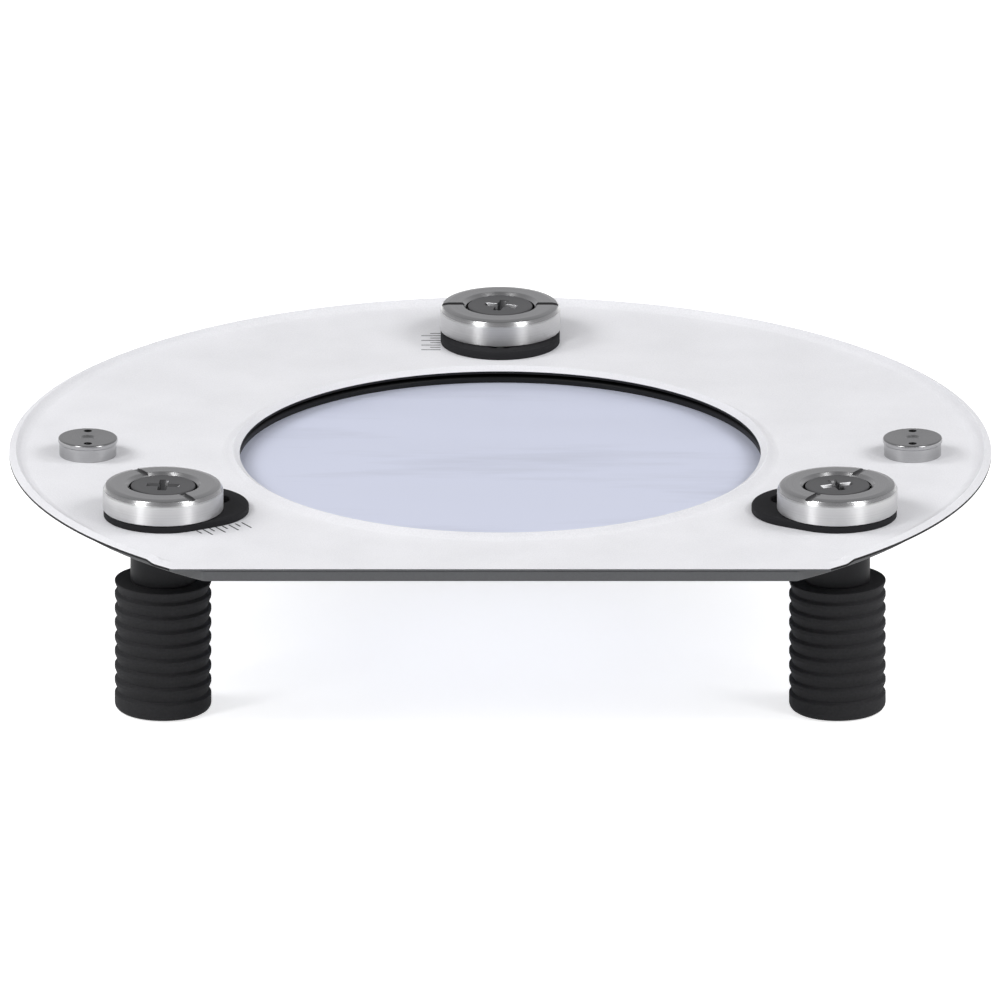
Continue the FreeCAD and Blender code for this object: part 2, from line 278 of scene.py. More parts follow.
def join(name, pieces):
    """One object from several closed ones that do not touch."""
    points, faces, start = [], [], 0
    for piece in pieces:
        mesh = piece.data
        co = np.empty(len(mesh.vertices) * 3)
        mesh.vertices.foreach_get("co", co)
        points.append(co.reshape(-1, 3) / MM)
        faces += [[start + v for v in face.vertices] for face in mesh.polygons]
        start += len(mesh.vertices)
        bpy.data.objects.remove(piece)
    return make_mesh_object(name, np.vstack(points), faces)


def give(piece, materials, index):
    """Gives a piece its materials, with one index for all of its faces or one for each."""
    for material in materials:
        piece.data.materials.append(material)
    index = np.broadcast_to(np.asarray(index, np.int32), len(piece.data.polygons))
    piece.data.polygons.foreach_set("material_index", np.ascontiguousarray(index))


def carve(piece, cutter):
    """Takes a cutter out of a piece and keeps the result as the piece's own mesh."""
    cut = piece.modifiers.new("cut", "BOOLEAN")
    cut.operation = "DIFFERENCE"
    cut.solver = "EXACT"
    cut.object = cutter
    graph = bpy.context.evaluated_depsgraph_get()
    mesh = bpy.data.meshes.new_from_object(piece.evaluated_get(graph))
    piece.modifiers.clear()
    mesh.name = piece.name
    piece.data = mesh
    bpy.data.objects.remove(cutter)
    return piece


def smooth(piece, angle=38.0):
    """Smooth shading with sharp edges where two faces meet at more than an angle in degrees."""
    mesh = piece.data
    mesh.polygons.foreach_set("use_smooth", np.ones(len(mesh.polygons), bool))
    mesh.set_sharp_from_angle(angle=np.radians(angle))
    mesh.update()
    return piece


# %% [markdown]
# ## Finishes
#
# A finish is more than a colour.  Powder coat has a fine grain, a turned
# face has rings that the tool left, rubber is dull and slightly dusty, and
# metallised film mirrors the room with a few soft ripples.  Each material
# below is a small tree: one pattern drives a slight change of colour, and
# the same or a finer one drives the bump.  Values that are the same all over
# sit on the shader's own sockets.

# %% Material helpers


def new_finish(name, colour, metallic=0.0, roughness=0.5, specular=0.5):
    """Material with one shader, returned with a function that adds nodes to its tree."""
    material = bpy.data.materials.new(name)
    material.use_nodes = True
    tree = material.node_tree
    shader = tree.nodes["Principled BSDF"]
    shader.inputs["Base Color"].default_value = (*colour, 1)
    shader.inputs["Metallic"].default_value = metallic
    shader.inputs["Roughness"].default_value = roughness
    shader.inputs["Specular IOR Level"].default_value = specular

    def add(kind, links=None, **values):
        """Node of a kind; values set its sockets or properties, links join them to other nodes."""
        node = tree.nodes.new(kind)
        for key, value in values.items():
            if key in node.inputs:
                node.inputs[key].default_value = value
            else:
                setattr(node, key, value)
        for key, source in (links or {}).items():
            tree.links.new(source, node.inputs[key])
        return node

    def join_to(socket, source):
        tree.links.new(source, shader.inputs[socket])

    return material, add, join_to


def two_tone(add, factor, colour, spread, start=0.3, end=0.7):
    """Colour ramp about one linear colour, from a share of it below to the same share above."""
    low = [c * (1 - spread) for c in colour]
    high = [min(1.0, c * (1 + spread)) for c in colour]
    ramp = add("ShaderNodeValToRGB", {"Fac": factor})
    ramp.color_ramp.elements[0].position = start
    ramp.color_ramp.elements[0].color = (*low, 1)
    ramp.color_ramp.elements[1].position = end
    ramp.color_ramp.elements[1].color = (*high, 1)
    return ramp.outputs["Color"]


def grained(name, colour, spread, grain, height, roughness, specular=0.5):
    """Finish with a fine even grain.

    grain is the size of one speck in millimetres, spread the share by which
    the colour wanders, and height the bump's distance in millimetres.
    """
    material, add, join_to = new_finish(name, colour, 0.0, roughness, specular)
    where = add("ShaderNodeTexCoord").outputs["Object"]
    speck = add("ShaderNodeTexNoise", {"Vector": where}, Scale=1 / (grain * MM), Detail=3.0, Roughness=0.6)
    cloud = add("ShaderNodeTexNoise", {"Vector": where}, Scale=1 / (9 * MM), Detail=2.0)
    layers = {"A": speck.outputs["Fac"], "B": cloud.outputs["Fac"]}
    both = add("ShaderNodeMix", layers, data_type="FLOAT", Factor=0.35)
    join_to("Base Color", two_tone(add, both.outputs[0], colour, spread))
    bump = add("ShaderNodeBump", {"Height": speck.outputs["Fac"]}, Strength=1.0, Distance=height * MM)
    join_to("Normal", bump.outputs["Normal"])
    return material


def machined(name, colour, spread, pitch, height, roughness, anisotropic):
    """Turned metal: fine rings about the turning axis.

    The rings are a noise that reads only the second coordinate of the
    turning UV map, the length along the outline, so that they follow every
    face and chamfer.  The tangent runs round the axis and is turned by a
    quarter, which spreads the highlights across the rings as real tool marks do.
    """
    material, add, join_to = new_finish(name, colour, 1.0, roughness)
    uv = add("ShaderNodeUVMap", uv_map="turning").outputs["UV"]
    parts = add("ShaderNodeSeparateXYZ", {"Vector": uv})
    arc = add("ShaderNodeMath", {0: parts.outputs["X"]}, operation="MULTIPLY")
    arc.inputs[1].default_value = 0.6
    ring = add("ShaderNodeMath", {0: parts.outputs["Y"]}, operation="MULTIPLY")
    ring.inputs[1].default_value = 1 / pitch
    where = add("ShaderNodeCombineXYZ", {"X": arc.outputs[0], "Y": ring.outputs[0]}).outputs["Vector"]
    marks = add("ShaderNodeTexNoise", {"Vector": where}, Scale=1.0, Detail=4.0, Roughness=0.65)
    join_to("Base Color", two_tone(add, marks.outputs["Fac"], colour, spread, 0.35, 0.65))
    bump = add("ShaderNodeBump", {"Height": marks.outputs["Fac"]}, Strength=1.0, Distance=height * MM)
    join_to("Normal", bump.outputs["Normal"])
    tangent = add("ShaderNodeTangent", direction_type="UV_MAP", uv_map="turning")
    join_to("Tangent", tangent.outputs["Tangent"])
    shader = material.node_tree.nodes["Principled BSDF"]
    shader.inputs["Anisotropic"].default_value = anisotropic
    shader.inputs["Anisotropic Rotation"].default_value = 0.25
    return material


# %% The finishes of this filter
WHITE_COAT = grained("white_coat", (0.80, 0.80, 0.83), 0.07, 0.22, 0.040, 0.45)
# painted shade: a near-black copy of the sheet's edge colour for the rim and aperture edges, darker than
# the grey edge of the straight side
CUT_EDGE_SHADE = grained("cut_edge_painted_shade", (0.012, 0.012, 0.013), 0.10, 0.30, 0.004, 0.60, 0.2)
DARK_COAT = grained("dark_coat", (0.082, 0.085, 0.091), 0.10, 0.30, 0.004, 0.42)
RING_BLACK = grained("ring_black", (0.010, 0.010, 0.011), 0.10, 0.25, 0.002, 0.45, 0.2)
BEZEL_BLACK = grained("bezel_black", (0.020, 0.020, 0.022), 0.12, 0.22, 0.003, 0.75, 0.15)
POST_BLACK = grained("post_black", (0.014, 0.014, 0.016), 0.12, 0.25, 0.003, 0.55, 0.20)
RUBBER = grained("sleeve_rubber", (0.030, 0.030, 0.032), 0.16, 0.35, 0.010, 0.80, 0.15)
SCALE_INK = grained("scale_ink", (0.030, 0.030, 0.034), 0.10, 0.10, 0.001, 0.55)
TURNED_SIDE = machined("turned_side", (0.76, 0.76, 0.765), 0.05, 0.07, 0.0007, 0.42, 0.93)
# painted shade: the same metal as the side with a darker base colour, so the top face reads darker than the
# side
SHADED_TURNED_FACE = machined("turned_face_painted_shade", (0.56, 0.56, 0.565), 0.08, 0.09, 0.0015, 0.26, 0.35)
# painted shade: a darker copy of the disc metal for the floor of the index groove, where shade falls
GROOVE_SHADE_STEEL = machined("groove_painted_shade", (0.30, 0.30, 0.305), 0.08, 0.12, 0.0015, 0.30, 0.2)
SCREW_STEEL = machined("screw_steel", (0.185, 0.185, 0.19), 0.08, 0.12, 0.0015, 0.30, 0.2)
# painted highlight: a slightly lighter, less rough copy of the screw steel, so the walls of the cross
# recess glint brighter than the head
RECESS_GLINT_STEEL = machined("recess_painted_glint", (0.20, 0.20, 0.204), 0.08, 0.12, 0.0015, 0.24, 0.2)
STUD_STEEL = machined("stud_steel", (0.45, 0.45, 0.455), 0.06, 0.09, 0.0010, 0.24, 0.4)

# %% [markdown]
# ## The film
#
# Metallised film is a mirror with a faint lavender tint.  It is stretched by
# its rings but never quite flat, so what it mirrors breaks into long soft
# streaks.  The ripples come from the geometry further down, and this finish
# adds painted reflection: soft darker streaks in its colour.

# %% Film finish


def film_finish():
    """Bright metallised film, part mirror and part cloudy, with painted reflection streaks across it."""
    colour = (0.72, 0.7525, 0.9005)
    material, add, join_to = new_finish("film_mirror", colour, 0.30, 0.40)
    where = add("ShaderNodeTexCoord").outputs["Object"]
    along = add("ShaderNodeMapping", {"Vector": where})
    along.inputs["Rotation"].default_value = (0, 0, np.radians(7))
    along.inputs["Scale"].default_value = (22.0, 150.0, 60.0)
    streaks = {"Vector": along.outputs["Vector"]}
    # painted reflection: a stretched noise darkens the film's colour in soft streaks, as the rippled
    # mirror's reflection does
    bands = add("ShaderNodeTexNoise", streaks, Scale=1.0, Detail=4.0, Roughness=0.55)
    join_to("Base Color", two_tone(add, bands.outputs["Fac"], colour, 0.056, 0.30, 0.47))
    return material


FILM_MIRROR = film_finish()

# %% [markdown]
# ## Giving a piece its place
#
# Every piece rides on one body of the mechanism, stands for one imported piece
# and takes its material.


def finish(piece, body, node, material=None):
    """Hands a piece its material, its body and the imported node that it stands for."""
    if material:
        piece.data.materials.append(material)
    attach(piece, body)
    if node:
        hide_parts(node)
    print(piece.name, "faces", len(piece.data.polygons))
    return piece


# %% [markdown]
# ## Front sheet
#
# The sheet is pressed from 0.4 mm metal.  A bead stands round the aperture
# and another along the rim, and the rim bead fades out just before the
# straight side.  Turning gives a full round sheet, with the height of each
# ring written as a flat part and a lift.  The lift of the rim bead is
# multiplied by a smooth step in y, so it dies away towards the straight
# side, and then a cutter takes off the straight side, the three slots and
# the two stud holes.  The coat is on the sky side only and ends a little
# below the corner, at the paint line, so the cut edges and the back take
# dark materials.  The back and the cut edges at the rim and the aperture
# take a near-black copy of the edge colour, which is painted shade under the beads;
# the straight side, the slots and the holes take the grey dark coat.

# %% Front sheet
BEAD_END = STRAIGHT_SIDE + 2.1
BEAD_RUN = 1.3
APERTURE_LIP, RIM_LIP = 0.23, 0.37
PAINT_LINE = 0.08


def bead(lip):
    """Skin of a bead as (distance from its free edge, lift) points.

    A straight slope rises to a crisp crest, and a hollow foot sinks behind it.
    """
    corners = [(0.0, lip), (0.92, 0.8), (1.45, 0.27), (2.3, 0.0), (3.4, 0.0)]
    return eased(corners, [0, 0.16, 1.6, 1.6, 0], 6, closed=False)[:-1]


def sheet_rings():
    """Rings of the sheet as (radius, flat height, lift, dark or not), anticlockwise in section."""
    inner, rim = bead(APERTURE_LIP), bead(RIM_LIP)[::-1]
    inner = inner * (1, 1) + (APERTURE_RADIUS, 0)
    rim = rim * (-1, 1) + (MASK_RADIUS, 0)
    flat = np.array([39.5, 41, 45, 50, 55, 59, 61, 62.5])
    skin = np.vstack([inner, np.stack([flat, 0 * flat], 1), rim])
    one = np.ones(len(skin))
    bottom = np.column_stack([skin[:, 0], BACK_TOP * one, skin[:, 1], one])
    top = np.column_stack([skin[:, 0], SHEET_TOP * one, skin[:, 1], 0 * one])[::-1]
    top[0, 0] -= 0.06
    top[-1, 0] += 0.06
    outer_edge = [
        (MASK_RADIUS, SHEET_TOP - PAINT_LINE, RIM_LIP, 1),
        (MASK_RADIUS - 0.02, SHEET_TOP - 0.02, RIM_LIP, 0),
    ]
    inner_edge = [
        (APERTURE_RADIUS + 0.02, SHEET_TOP - 0.02, APERTURE_LIP, 0),
        (APERTURE_RADIUS, SHEET_TOP - PAINT_LINE, APERTURE_LIP, 1),
    ]
    return np.vstack([bottom, outer_edge, top, inner_edge])


def sheet_angles():
    """Directions of the sheet's spokes, closer together where the rim bead fades out."""
    even = np.arange(0, 360, 0.75)
    fine = np.arange(42.0, 48.2, 0.1)
    return np.radians(np.unique(np.round(np.concatenate([even, 360 - fine, 180 + fine]), 4)))


def straight_side_loop(radius, inward=0.0):
    """Loop round all that lies beyond the straight side, with both corners of the plate rounded.

    The round of 0.8 touches the side and the rim, so its centre lies 0.8
    inside the side and at the plate's radius less 0.8 from the axis.  The
    whole loop may lie a little further inward.
    """
    corner = 0.8
    radius = radius - inward
    cy = STRAIGHT_SIDE + inward + corner
    cx = np.sqrt((radius - corner) ** 2 - cy ** 2)
    t = np.linspace(-np.pi / 2, np.arctan2(cy, cx), 9)
    right = np.stack([cx + corner * np.cos(t), cy + corner * np.sin(t)], 1)
    left = right * (-1, 1)
    far = 90.0
    level = right[-1, 1]
    return np.vstack([[(-far, -far), (far, -far), (far, level)], right[::-1], left, [(-far, level)]])


def plate_cutter(name, radius, low, top, high):
    """Cutter for the straight side, the slots of the collars and the stud holes.

    It leans inward by 45 degrees from a tenth below the plate's top, which
    breaks the long edge as a file does.
    """
    start = top - 0.1
    side = []
    for z, inward in ((low, 0.0), (start, 0.0), (high, high - start)):
        loop = straight_side_loop(radius, inward)
        side.append(np.column_stack([loop, np.full(len(loop), z)]))
    parts = [lofted(name + "_side", side)]
    for word, (angle, _, _) in FINGERS.items():
        slot = placed(obround_loop(SLOT_INNER, SLOT_OUTER, 2.75)[0], angle)
        parts.append(prism(name + "_slot_" + word, slot, low, high))
    for side in (-1, 1):
        parts.append(prism(name + "_hole", circle_loop(2.1, 48, side * STUD_DISTANCE), low, high))
    return join(name, parts)


def front_plate():
    """The pressed sheet: x = r cos t, y = r sin t, z = flat height + lift times the smooth step in y."""
    rings = sheet_rings()
    t = sheet_angles()
    around = len(t)
    x, y = rings[:, :1] * np.cos(t), rings[:, :1] * np.sin(t)
    s = np.clip((y - BEAD_END) / BEAD_RUN, 0, 1)
    fade = np.where(rings[:, :1] > 50, s * s * (3 - 2 * s), 1.0)
    z = rings[:, 1:2] + rings[:, 2:3] * fade
    points = np.stack([x, y, z], -1).reshape(-1, 3)
    faces = ring_faces(len(rings), around, True)
    piece = make_mesh_object("front_sheet", points, faces.tolist())
    # faces flagged here take the near-black cut edge, which is painted shade at the rim, the aperture and
    # the back
    dark = (rings[:, 3] + np.roll(rings[:, 3], -1) > 1.5).astype(np.int32)
    cutter = plate_cutter("sheet_cutter", MASK_RADIUS, BACK_TOP - 2, SHEET_TOP, SHEET_TOP + 1.2)
    leans = np.array([0.2 < abs(face.normal.z) < 0.9 for face in cutter.data.polygons])
    materials = WHITE_COAT, CUT_EDGE_SHADE, DARK_COAT
    give(piece, materials, np.repeat(dark, around))
    give(cutter, materials, np.where(leans, 0, 2))
    return smooth(carve(piece, cutter), 32)


finish(front_plate(), "mask", "front_plate")

# %% [markdown]
# ## Back plate and the rings that pinch the film
#
# The back plate is a plain turned disc with the same cutter.  The two rings
# are turned from their sections: the front one has a rounded nose that shows
# inside the aperture, and the rear one a flange that seats on the barrel.

# %% Back plate and film rings
BACK_RADIUS = MASK_RADIUS - 2.8
BACK_BORE = RING_RADIUS + 0.1


def back_plate():
    """Plain turned plate with its bore, cut as the sheet is."""
    outline = eased(
        [(BACK_BORE, BACK_BOTTOM), (BACK_RADIUS, BACK_BOTTOM),
         (BACK_RADIUS, BACK_TOP), (BACK_BORE, BACK_TOP)], 0.1)
    piece = turned("backing_plate", outline, 480)
    cutter = plate_cutter("back_cutter", BACK_RADIUS, BACK_BOTTOM - 2, BACK_TOP, BACK_TOP + 2)
    return smooth(carve(piece, cutter), 32)


finish(back_plate(), "mask", "back_plate", DARK_COAT)

NOSE_TOP = BACK_TOP - 0.32
front_ring = eased(
    [(RING_BORE, FILM_TOP), (RING_RADIUS, FILM_TOP), (RING_RADIUS, BACK_TOP), (RING_RADIUS - 1, BACK_TOP),
     (RING_RADIUS - 1, NOSE_TOP), (RING_BORE, NOSE_TOP)],
    [0.08, 0.05, 0.05, 0.05, 0.05, 0.3], 6)
finish(smooth(turned("nose_ring", front_ring, 288)), "mask", "film_ring_front", RING_BLACK)

FLANGE_RADIUS, FLANGE_BOTTOM = RING_RADIUS + 0.9, BACK_BOTTOM - 0.8
rear_ring = eased(
    [(RING_BORE, FLANGE_BOTTOM), (FLANGE_RADIUS, FLANGE_BOTTOM), (FLANGE_RADIUS, BACK_BOTTOM),
     (RING_RADIUS, BACK_BOTTOM), (RING_RADIUS, FILM_LOW), (RING_BORE, FILM_LOW)],
    [0.15, 0.15, 0.05, 0.03, 0.03, 0.06], 4)
finish(smooth(turned("seat_ring", rear_ring, 288)), "mask", "film_ring_rear", RING_BLACK)

# %% [markdown]
# ## The film itself
#
# The film is a thin closed disc.  Its ripples are a sum of a few long waves
# whose crests run mostly from side to side, and they die away at the rings.
# The seed is fixed, so the film is the same on every run.

# %% Film with soft ripples


def ripple(x, y):
    """Height of the film in mm: a sum of sines, faded out over the last 3 mm inside the aperture."""
    rng = np.random.default_rng(11)
    height = np.zeros_like(x)
    for wave in (38.0, 27.0, 19.0, 14.0, 11.0, 8.5):
        lean = rng.normal(0, 0.22)
        bend = rng.normal(0, 0.9)
        phase = rng.uniform(0, 2 * np.pi)
        across = y * np.cos(lean) + x * np.sin(lean) + bend * np.sin(x / rng.uniform(9, 18) + phase)
        height += 0.0016 * wave * np.sin(2 * np.pi * across / wave + phase)
    r = np.hypot(x, y)
    s = np.clip((APERTURE_RADIUS - r) / 3.0, 0, 1)
    return height * s * s * (3 - 2 * s)


def solar_film():
    """Disc of film, 0.1 mm thick, with the ripple added to both of its faces."""
    r = np.concatenate([np.linspace(0, RING_BORE, 100), [36.5, RING_RADIUS]])
    bottom = np.column_stack([r, np.full(len(r), FILM_LOW)])
    top = np.column_stack([r[::-1], np.full(len(r), FILM_TOP)])
    piece = turned("film_disc", np.vstack([bottom, top]), 288, closed=False)
    mesh = piece.data
    co = np.empty(len(mesh.vertices) * 3)
    mesh.vertices.foreach_get("co", co)
    co = co.reshape(-1, 3) / MM
    co[:, 2] += ripple(co[:, 0], co[:, 1])
    mesh.vertices.foreach_set("co", (co * MM).ravel())
    mesh.update()
    return smooth(piece)


finish(solar_film(), "mask", "solar_film", FILM_MIRROR)

# %% [markdown]
# ## Bezels
#
# A bezel is a moulded flange with a collar that lines the slot.  In section
# it is one closed outline, and that outline is carried round a slot-shaped
# path instead of a circle.  The flange's path is shorter than the collar's,
# so each point of the outline takes the ends of its path from its own width.

# %% Slot bezels
COLLAR_INSIDE, COLLAR_OUTSIDE, FLANGE_HALF = 2.1, 2.7, 8.0


def bezel(word):
    """Outline (half width, height) carried round obrounds whose end centres follow the half width."""
    outline = eased(
        [(COLLAR_INSIDE, BACK_BOTTOM), (COLLAR_OUTSIDE, BACK_BOTTOM), (COLLAR_OUTSIDE, SHEET_TOP),
         (FLANGE_HALF, SHEET_TOP), (FLANGE_HALF, BEZEL_TOP), (COLLAR_INSIDE, BEZEL_TOP)],
        [0.08, 0.08, 0.05, 0.06, 0.28, 0.15], 5)
    width, height = outline[:, 0], outline[:, 1]
    widths = [COLLAR_OUTSIDE, FLANGE_HALF - 0.6]
    inner = np.interp(width, widths, [SLOT_INNER, SLOT_INNER + 3.8])
    outer = np.interp(width, widths, [SLOT_OUTER, SLOT_OUTER - 0.1])
    loops = obround_loop(inner, outer, width, 30, 6)
    around = loops.shape[1]
    z = np.broadcast_to(height[:, None, None], (len(height), around, 1))
    points = placed(np.concatenate([loops, z], -1), FINGERS[word][0])
    faces = ring_faces(len(height), around, True).tolist()
    return smooth(make_mesh_object("bezel_" + word, points.reshape(-1, 3), faces))


for word in FINGERS:
    finish(bezel(word), "mask", "slot_bezel_" + word, BEZEL_BLACK)

# %% [markdown]
# ## Clamp discs and their screws
#
# Each disc is turned, bored for the screw's head and given an index groove
# square to its slot.  The screw's head is turned as well, and its cross
# recess is a tapered cutter.  The driver left each cross at its own angle.

# %% Clamp discs and screws
DISC_RADIUS, HEAD_BORE, HEAD_RADIUS = 8.1, 4.62, 4.35
HEAD_SEAT = DISC_TOP - 2.4
SCREW_END = HEAD_SEAT - 10


def finger_centre(word):
    """Place of a finger's axis, (x, y) in mm."""
    angle, distance, _ = FINGERS[word]
    return tuple(placed([[0.0, 0.0]], angle, distance)[0])


def clamp_disc(word):
    """Turned disc with a head bore, a chamfer inside and out, and an index groove.

    Its side keeps coarse tool marks and its face is finer; the face is darker than the side and the groove
    darker still, both painted shade.
    """
    angle, distance, _ = FINGERS[word]
    around = 160
    outline = eased(
        [(SHANK_BORE, BEZEL_TOP), (DISC_RADIUS - 0.12, BEZEL_TOP), (DISC_RADIUS, BEZEL_TOP + 0.12),
         (DISC_RADIUS, DISC_TOP - 0.82), (DISC_RADIUS - 0.38, DISC_TOP - 0.13),
         (DISC_RADIUS - 1.1, DISC_TOP), (HEAD_BORE + 0.45, DISC_TOP),
         (HEAD_BORE, DISC_TOP - 0.45), (HEAD_BORE, HEAD_SEAT), (SHANK_BORE, HEAD_SEAT)],
        [0.05, 0.05, 0.05, 0.30, 0.30, 1.0, 0.10, 0.06, 0.06, 0.05], 6)
    piece = turned("disc_" + word, outline, around, finger_centre(word))
    out = outline[:, 0] > DISC_RADIUS - 0.1
    side = np.where(out & np.roll(out, -1), 0, 1)
    groove = placed([(-0.5, -12), (0.5, -12), (0.5, 12), (-0.5, 12)], angle, distance)
    cutter = prism("groove", groove, DISC_TOP - 0.30, DISC_TOP + 1)
    materials = TURNED_SIDE, SHADED_TURNED_FACE, GROOVE_SHADE_STEEL
    give(piece, materials, np.repeat(side, around))
    give(cutter, materials, 2)
    return smooth(carve(piece, cutter), 30)


def cross_loop(half_span, half_arm):
    """Anticlockwise cross of 20 points with rounded arm ends, as an (n x 2) loop."""
    side = np.arcsin(half_arm / half_span)
    t = np.linspace(-side, side, 4)
    arm = np.vstack([np.stack([half_span * np.cos(t), half_span * np.sin(t)], 1), [(half_arm, half_arm)]])
    return np.vstack([placed(arm, quarter) for quarter in (0, 90, 180, 270)])


def clamp_screw(word):
    """Screw with a flat head and a tapered cross recess, 1.8 mm deep.

    Each level of the recess is a height over the head's top, half the span
    of the cross and half the width of its arms.
    """
    top = DISC_TOP - 0.23
    outline = eased(
        [(0, SCREW_END), (SHANK_RADIUS - 0.8, SCREW_END), (SHANK_RADIUS, SCREW_END + 0.8),
         (SHANK_RADIUS, HEAD_SEAT), (HEAD_RADIUS, HEAD_SEAT), (HEAD_RADIUS, top), (0, top)],
        [0, 0.05, 0.05, 0.05, 0.05, 0.18, 0], 5, closed=False)
    piece = turned("screw_" + word, outline, 128, finger_centre(word), closed=False)
    levels = [
        (-1.8, 0.55, 0.24), (-1.65, 0.95, 0.36), (-0.12, 2.15, 0.54), (0.0, 2.28, 0.64), (0.5, 2.8, 1.1)]
    loops = []
    for rise, span, arm in levels:
        cross = placed(cross_loop(span, arm), FINGERS[word][2]) + finger_centre(word)
        loops.append(np.column_stack([cross, np.full(len(cross), top + rise)]))
    cutter = lofted("cross", loops)
    give(piece, (SCREW_STEEL, RECESS_GLINT_STEEL), 0)
    # the recess walls take the lighter copy of the steel, a painted highlight
    give(cutter, (SCREW_STEEL, RECESS_GLINT_STEEL), 1)
    return smooth(carve(piece, cutter), 34)


for word in FINGERS:
    finish(clamp_disc(word), "finger_" + word, "clamp_disc_" + word)
    finish(clamp_screw(word), "screw_" + word, "clamp_screw_" + word)

# %% [markdown]
# ## Fingers
#
# Below the mask each finger has a black post with a shoulder, and a rubber
# sleeve over the post's core.  The sleeve's ribs are rings: each starts with
# a ledge that faces up, stays full for half a millimetre and tapers in to
# the next notch.

# %% Posts and sleeves
SLEEVE_TOP = 18.2
SLEEVE_RADIUS = 6.5
CORE_RADIUS, CORE_BOTTOM = 3.0, 2.2
NECK_RADIUS, SHOULDER_RADIUS = 4.4, 5.3
SHOULDER_BOTTOM = BACK_BOTTOM - 1.2


def post(word):
    """Post from its core in the rubber up to the shoulder, with the tapped hole for the screw."""
    tap_end = SCREW_END - 1
    outline = eased(
        [(0, CORE_BOTTOM), (CORE_RADIUS, CORE_BOTTOM), (CORE_RADIUS, SLEEVE_TOP), (NECK_RADIUS, SLEEVE_TOP),
         (NECK_RADIUS, SHOULDER_BOTTOM), (SHOULDER_RADIUS, SHOULDER_BOTTOM), (SHOULDER_RADIUS, BACK_BOTTOM),
         (SHANK_BORE, BACK_BOTTOM), (SHANK_BORE, tap_end), (0, tap_end - SHANK_BORE)],
        [0, 0.3, 0.05, 0.12, 0.15, 0.15, 0.1, 0.1, 0.1, 0], 4, closed=False)
    return smooth(turned("post_" + word, outline, 96, finger_centre(word), closed=False))


def sleeve(word):
    """Ribbed sleeve: even notches between a top band and a tip band, each rib under a ledge of 0.3."""
    ribs, top_band, tip_band, depth = 8, 1.43, 2.66, 0.45
    ledge, plateau = 0.3, 0.5
    pitch = (SLEEVE_TOP - top_band - tip_band) / (ribs - 1)
    notch = SLEEVE_TOP - top_band - pitch * np.arange(ribs)[::-1]
    r = SLEEVE_RADIUS
    rib = np.stack([
        np.stack([np.full(ribs, r), notch - ledge], 1),
        np.stack([np.full(ribs, r - depth), notch], 1),
        np.stack([np.full(ribs, r), notch + pitch - ledge - plateau], 1),
    ], 1).reshape(-1, 2)
    bore = CORE_RADIUS + 0.05
    inside = [(r, SLEEVE_TOP), (bore, SLEEVE_TOP), (bore, CORE_BOTTOM), (0, CORE_BOTTOM)]
    outline = np.vstack([[(0, 0), (r, 0)], rib, inside])
    radii = np.concatenate([[0, 1.0], np.tile([0.10, 0.05, 0.25], ribs), [0.15, 0.1, 0.1, 0]])
    outline = eased(outline, radii, 4, closed=False)
    return smooth(turned("sleeve_" + word, outline, 112, finger_centre(word), closed=False), 50)


for word in FINGERS:
    finish(post(word), "finger_" + word, "finger_post_" + word, POST_BLACK)
    finish(sleeve(word), "finger_" + word, "finger_sleeve_" + word, RUBBER)

# %% [markdown]
# ## Joining studs and nuts
#
# Two studs hold the sheet and the back plate together.  Each has two holes
# for a pin spanner and a shallow dimple, and a round nut behind the plate.

# %% Studs and nuts
STUD_TOP = SHEET_TOP + 2.4
STUD_RADIUS = 4.0
NUT_BOTTOM = BACK_BOTTOM - 1.6


def stud(word, x):
    """Turned stud with a rounded lip, a shallow dimple and two spanner holes."""
    outline = eased(
        [(0, NUT_BOTTOM), (SHANK_RADIUS, NUT_BOTTOM), (SHANK_RADIUS, SHEET_TOP),
         (STUD_RADIUS - 0.16, SHEET_TOP), (STUD_RADIUS - 0.16, STUD_TOP - 0.72),
         (STUD_RADIUS, STUD_TOP - 0.56), (STUD_RADIUS, STUD_TOP), (0.95, STUD_TOP),
         (0.75, STUD_TOP - 0.18), (0, STUD_TOP - 0.18)],
        [0, 0.1, 0.03, 0.03, 0.10, 0.20, 0.38, 0.15, 0.15, 0], 6, closed=False)
    piece = turned("stud_" + word, outline, 128, (x, 0.0), closed=False)
    holes = [prism("hole", circle_loop(0.55, 32, x, y), STUD_TOP - 1.2, STUD_TOP + 1) for y in (-2.7, 2.7)]
    return smooth(carve(piece, join("holes", holes)), 32)


def nut(word, x):
    """Round nut with a driver slot across its outer face."""
    outline = eased(
        [(2.02, NUT_BOTTOM), (STUD_RADIUS, NUT_BOTTOM), (STUD_RADIUS, BACK_BOTTOM), (2.02, BACK_BOTTOM)],
        [0.15, 0.2, 0.05, 0.05], 4)
    piece = turned("nut_" + word, outline, 96, (x, 0.0))
    slot = [(x - 0.5, -8), (x + 0.5, -8), (x + 0.5, 8), (x - 0.5, 8)]
    return smooth(carve(piece, prism("slot", slot, NUT_BOTTOM - 1, NUT_BOTTOM + 0.6)), 32)


for word, side in (("left", -1), ("right", 1)):
    finish(stud(word, side * STUD_DISTANCE), "mask", "joining_stud_" + word, STUD_STEEL)
    finish(nut(word, side * STUD_DISTANCE), "mask", "joining_nut_" + word, STUD_STEEL)

# %% [markdown]
# ## Millimetre lines
#
# Beside each slot the sheet carries printed lines, one for each millimetre
# of travel, long and short in turn.  Ink has almost no height, so each line
# is a strip a hundredth of a millimetre proud of the coat.

# %% Printed scales


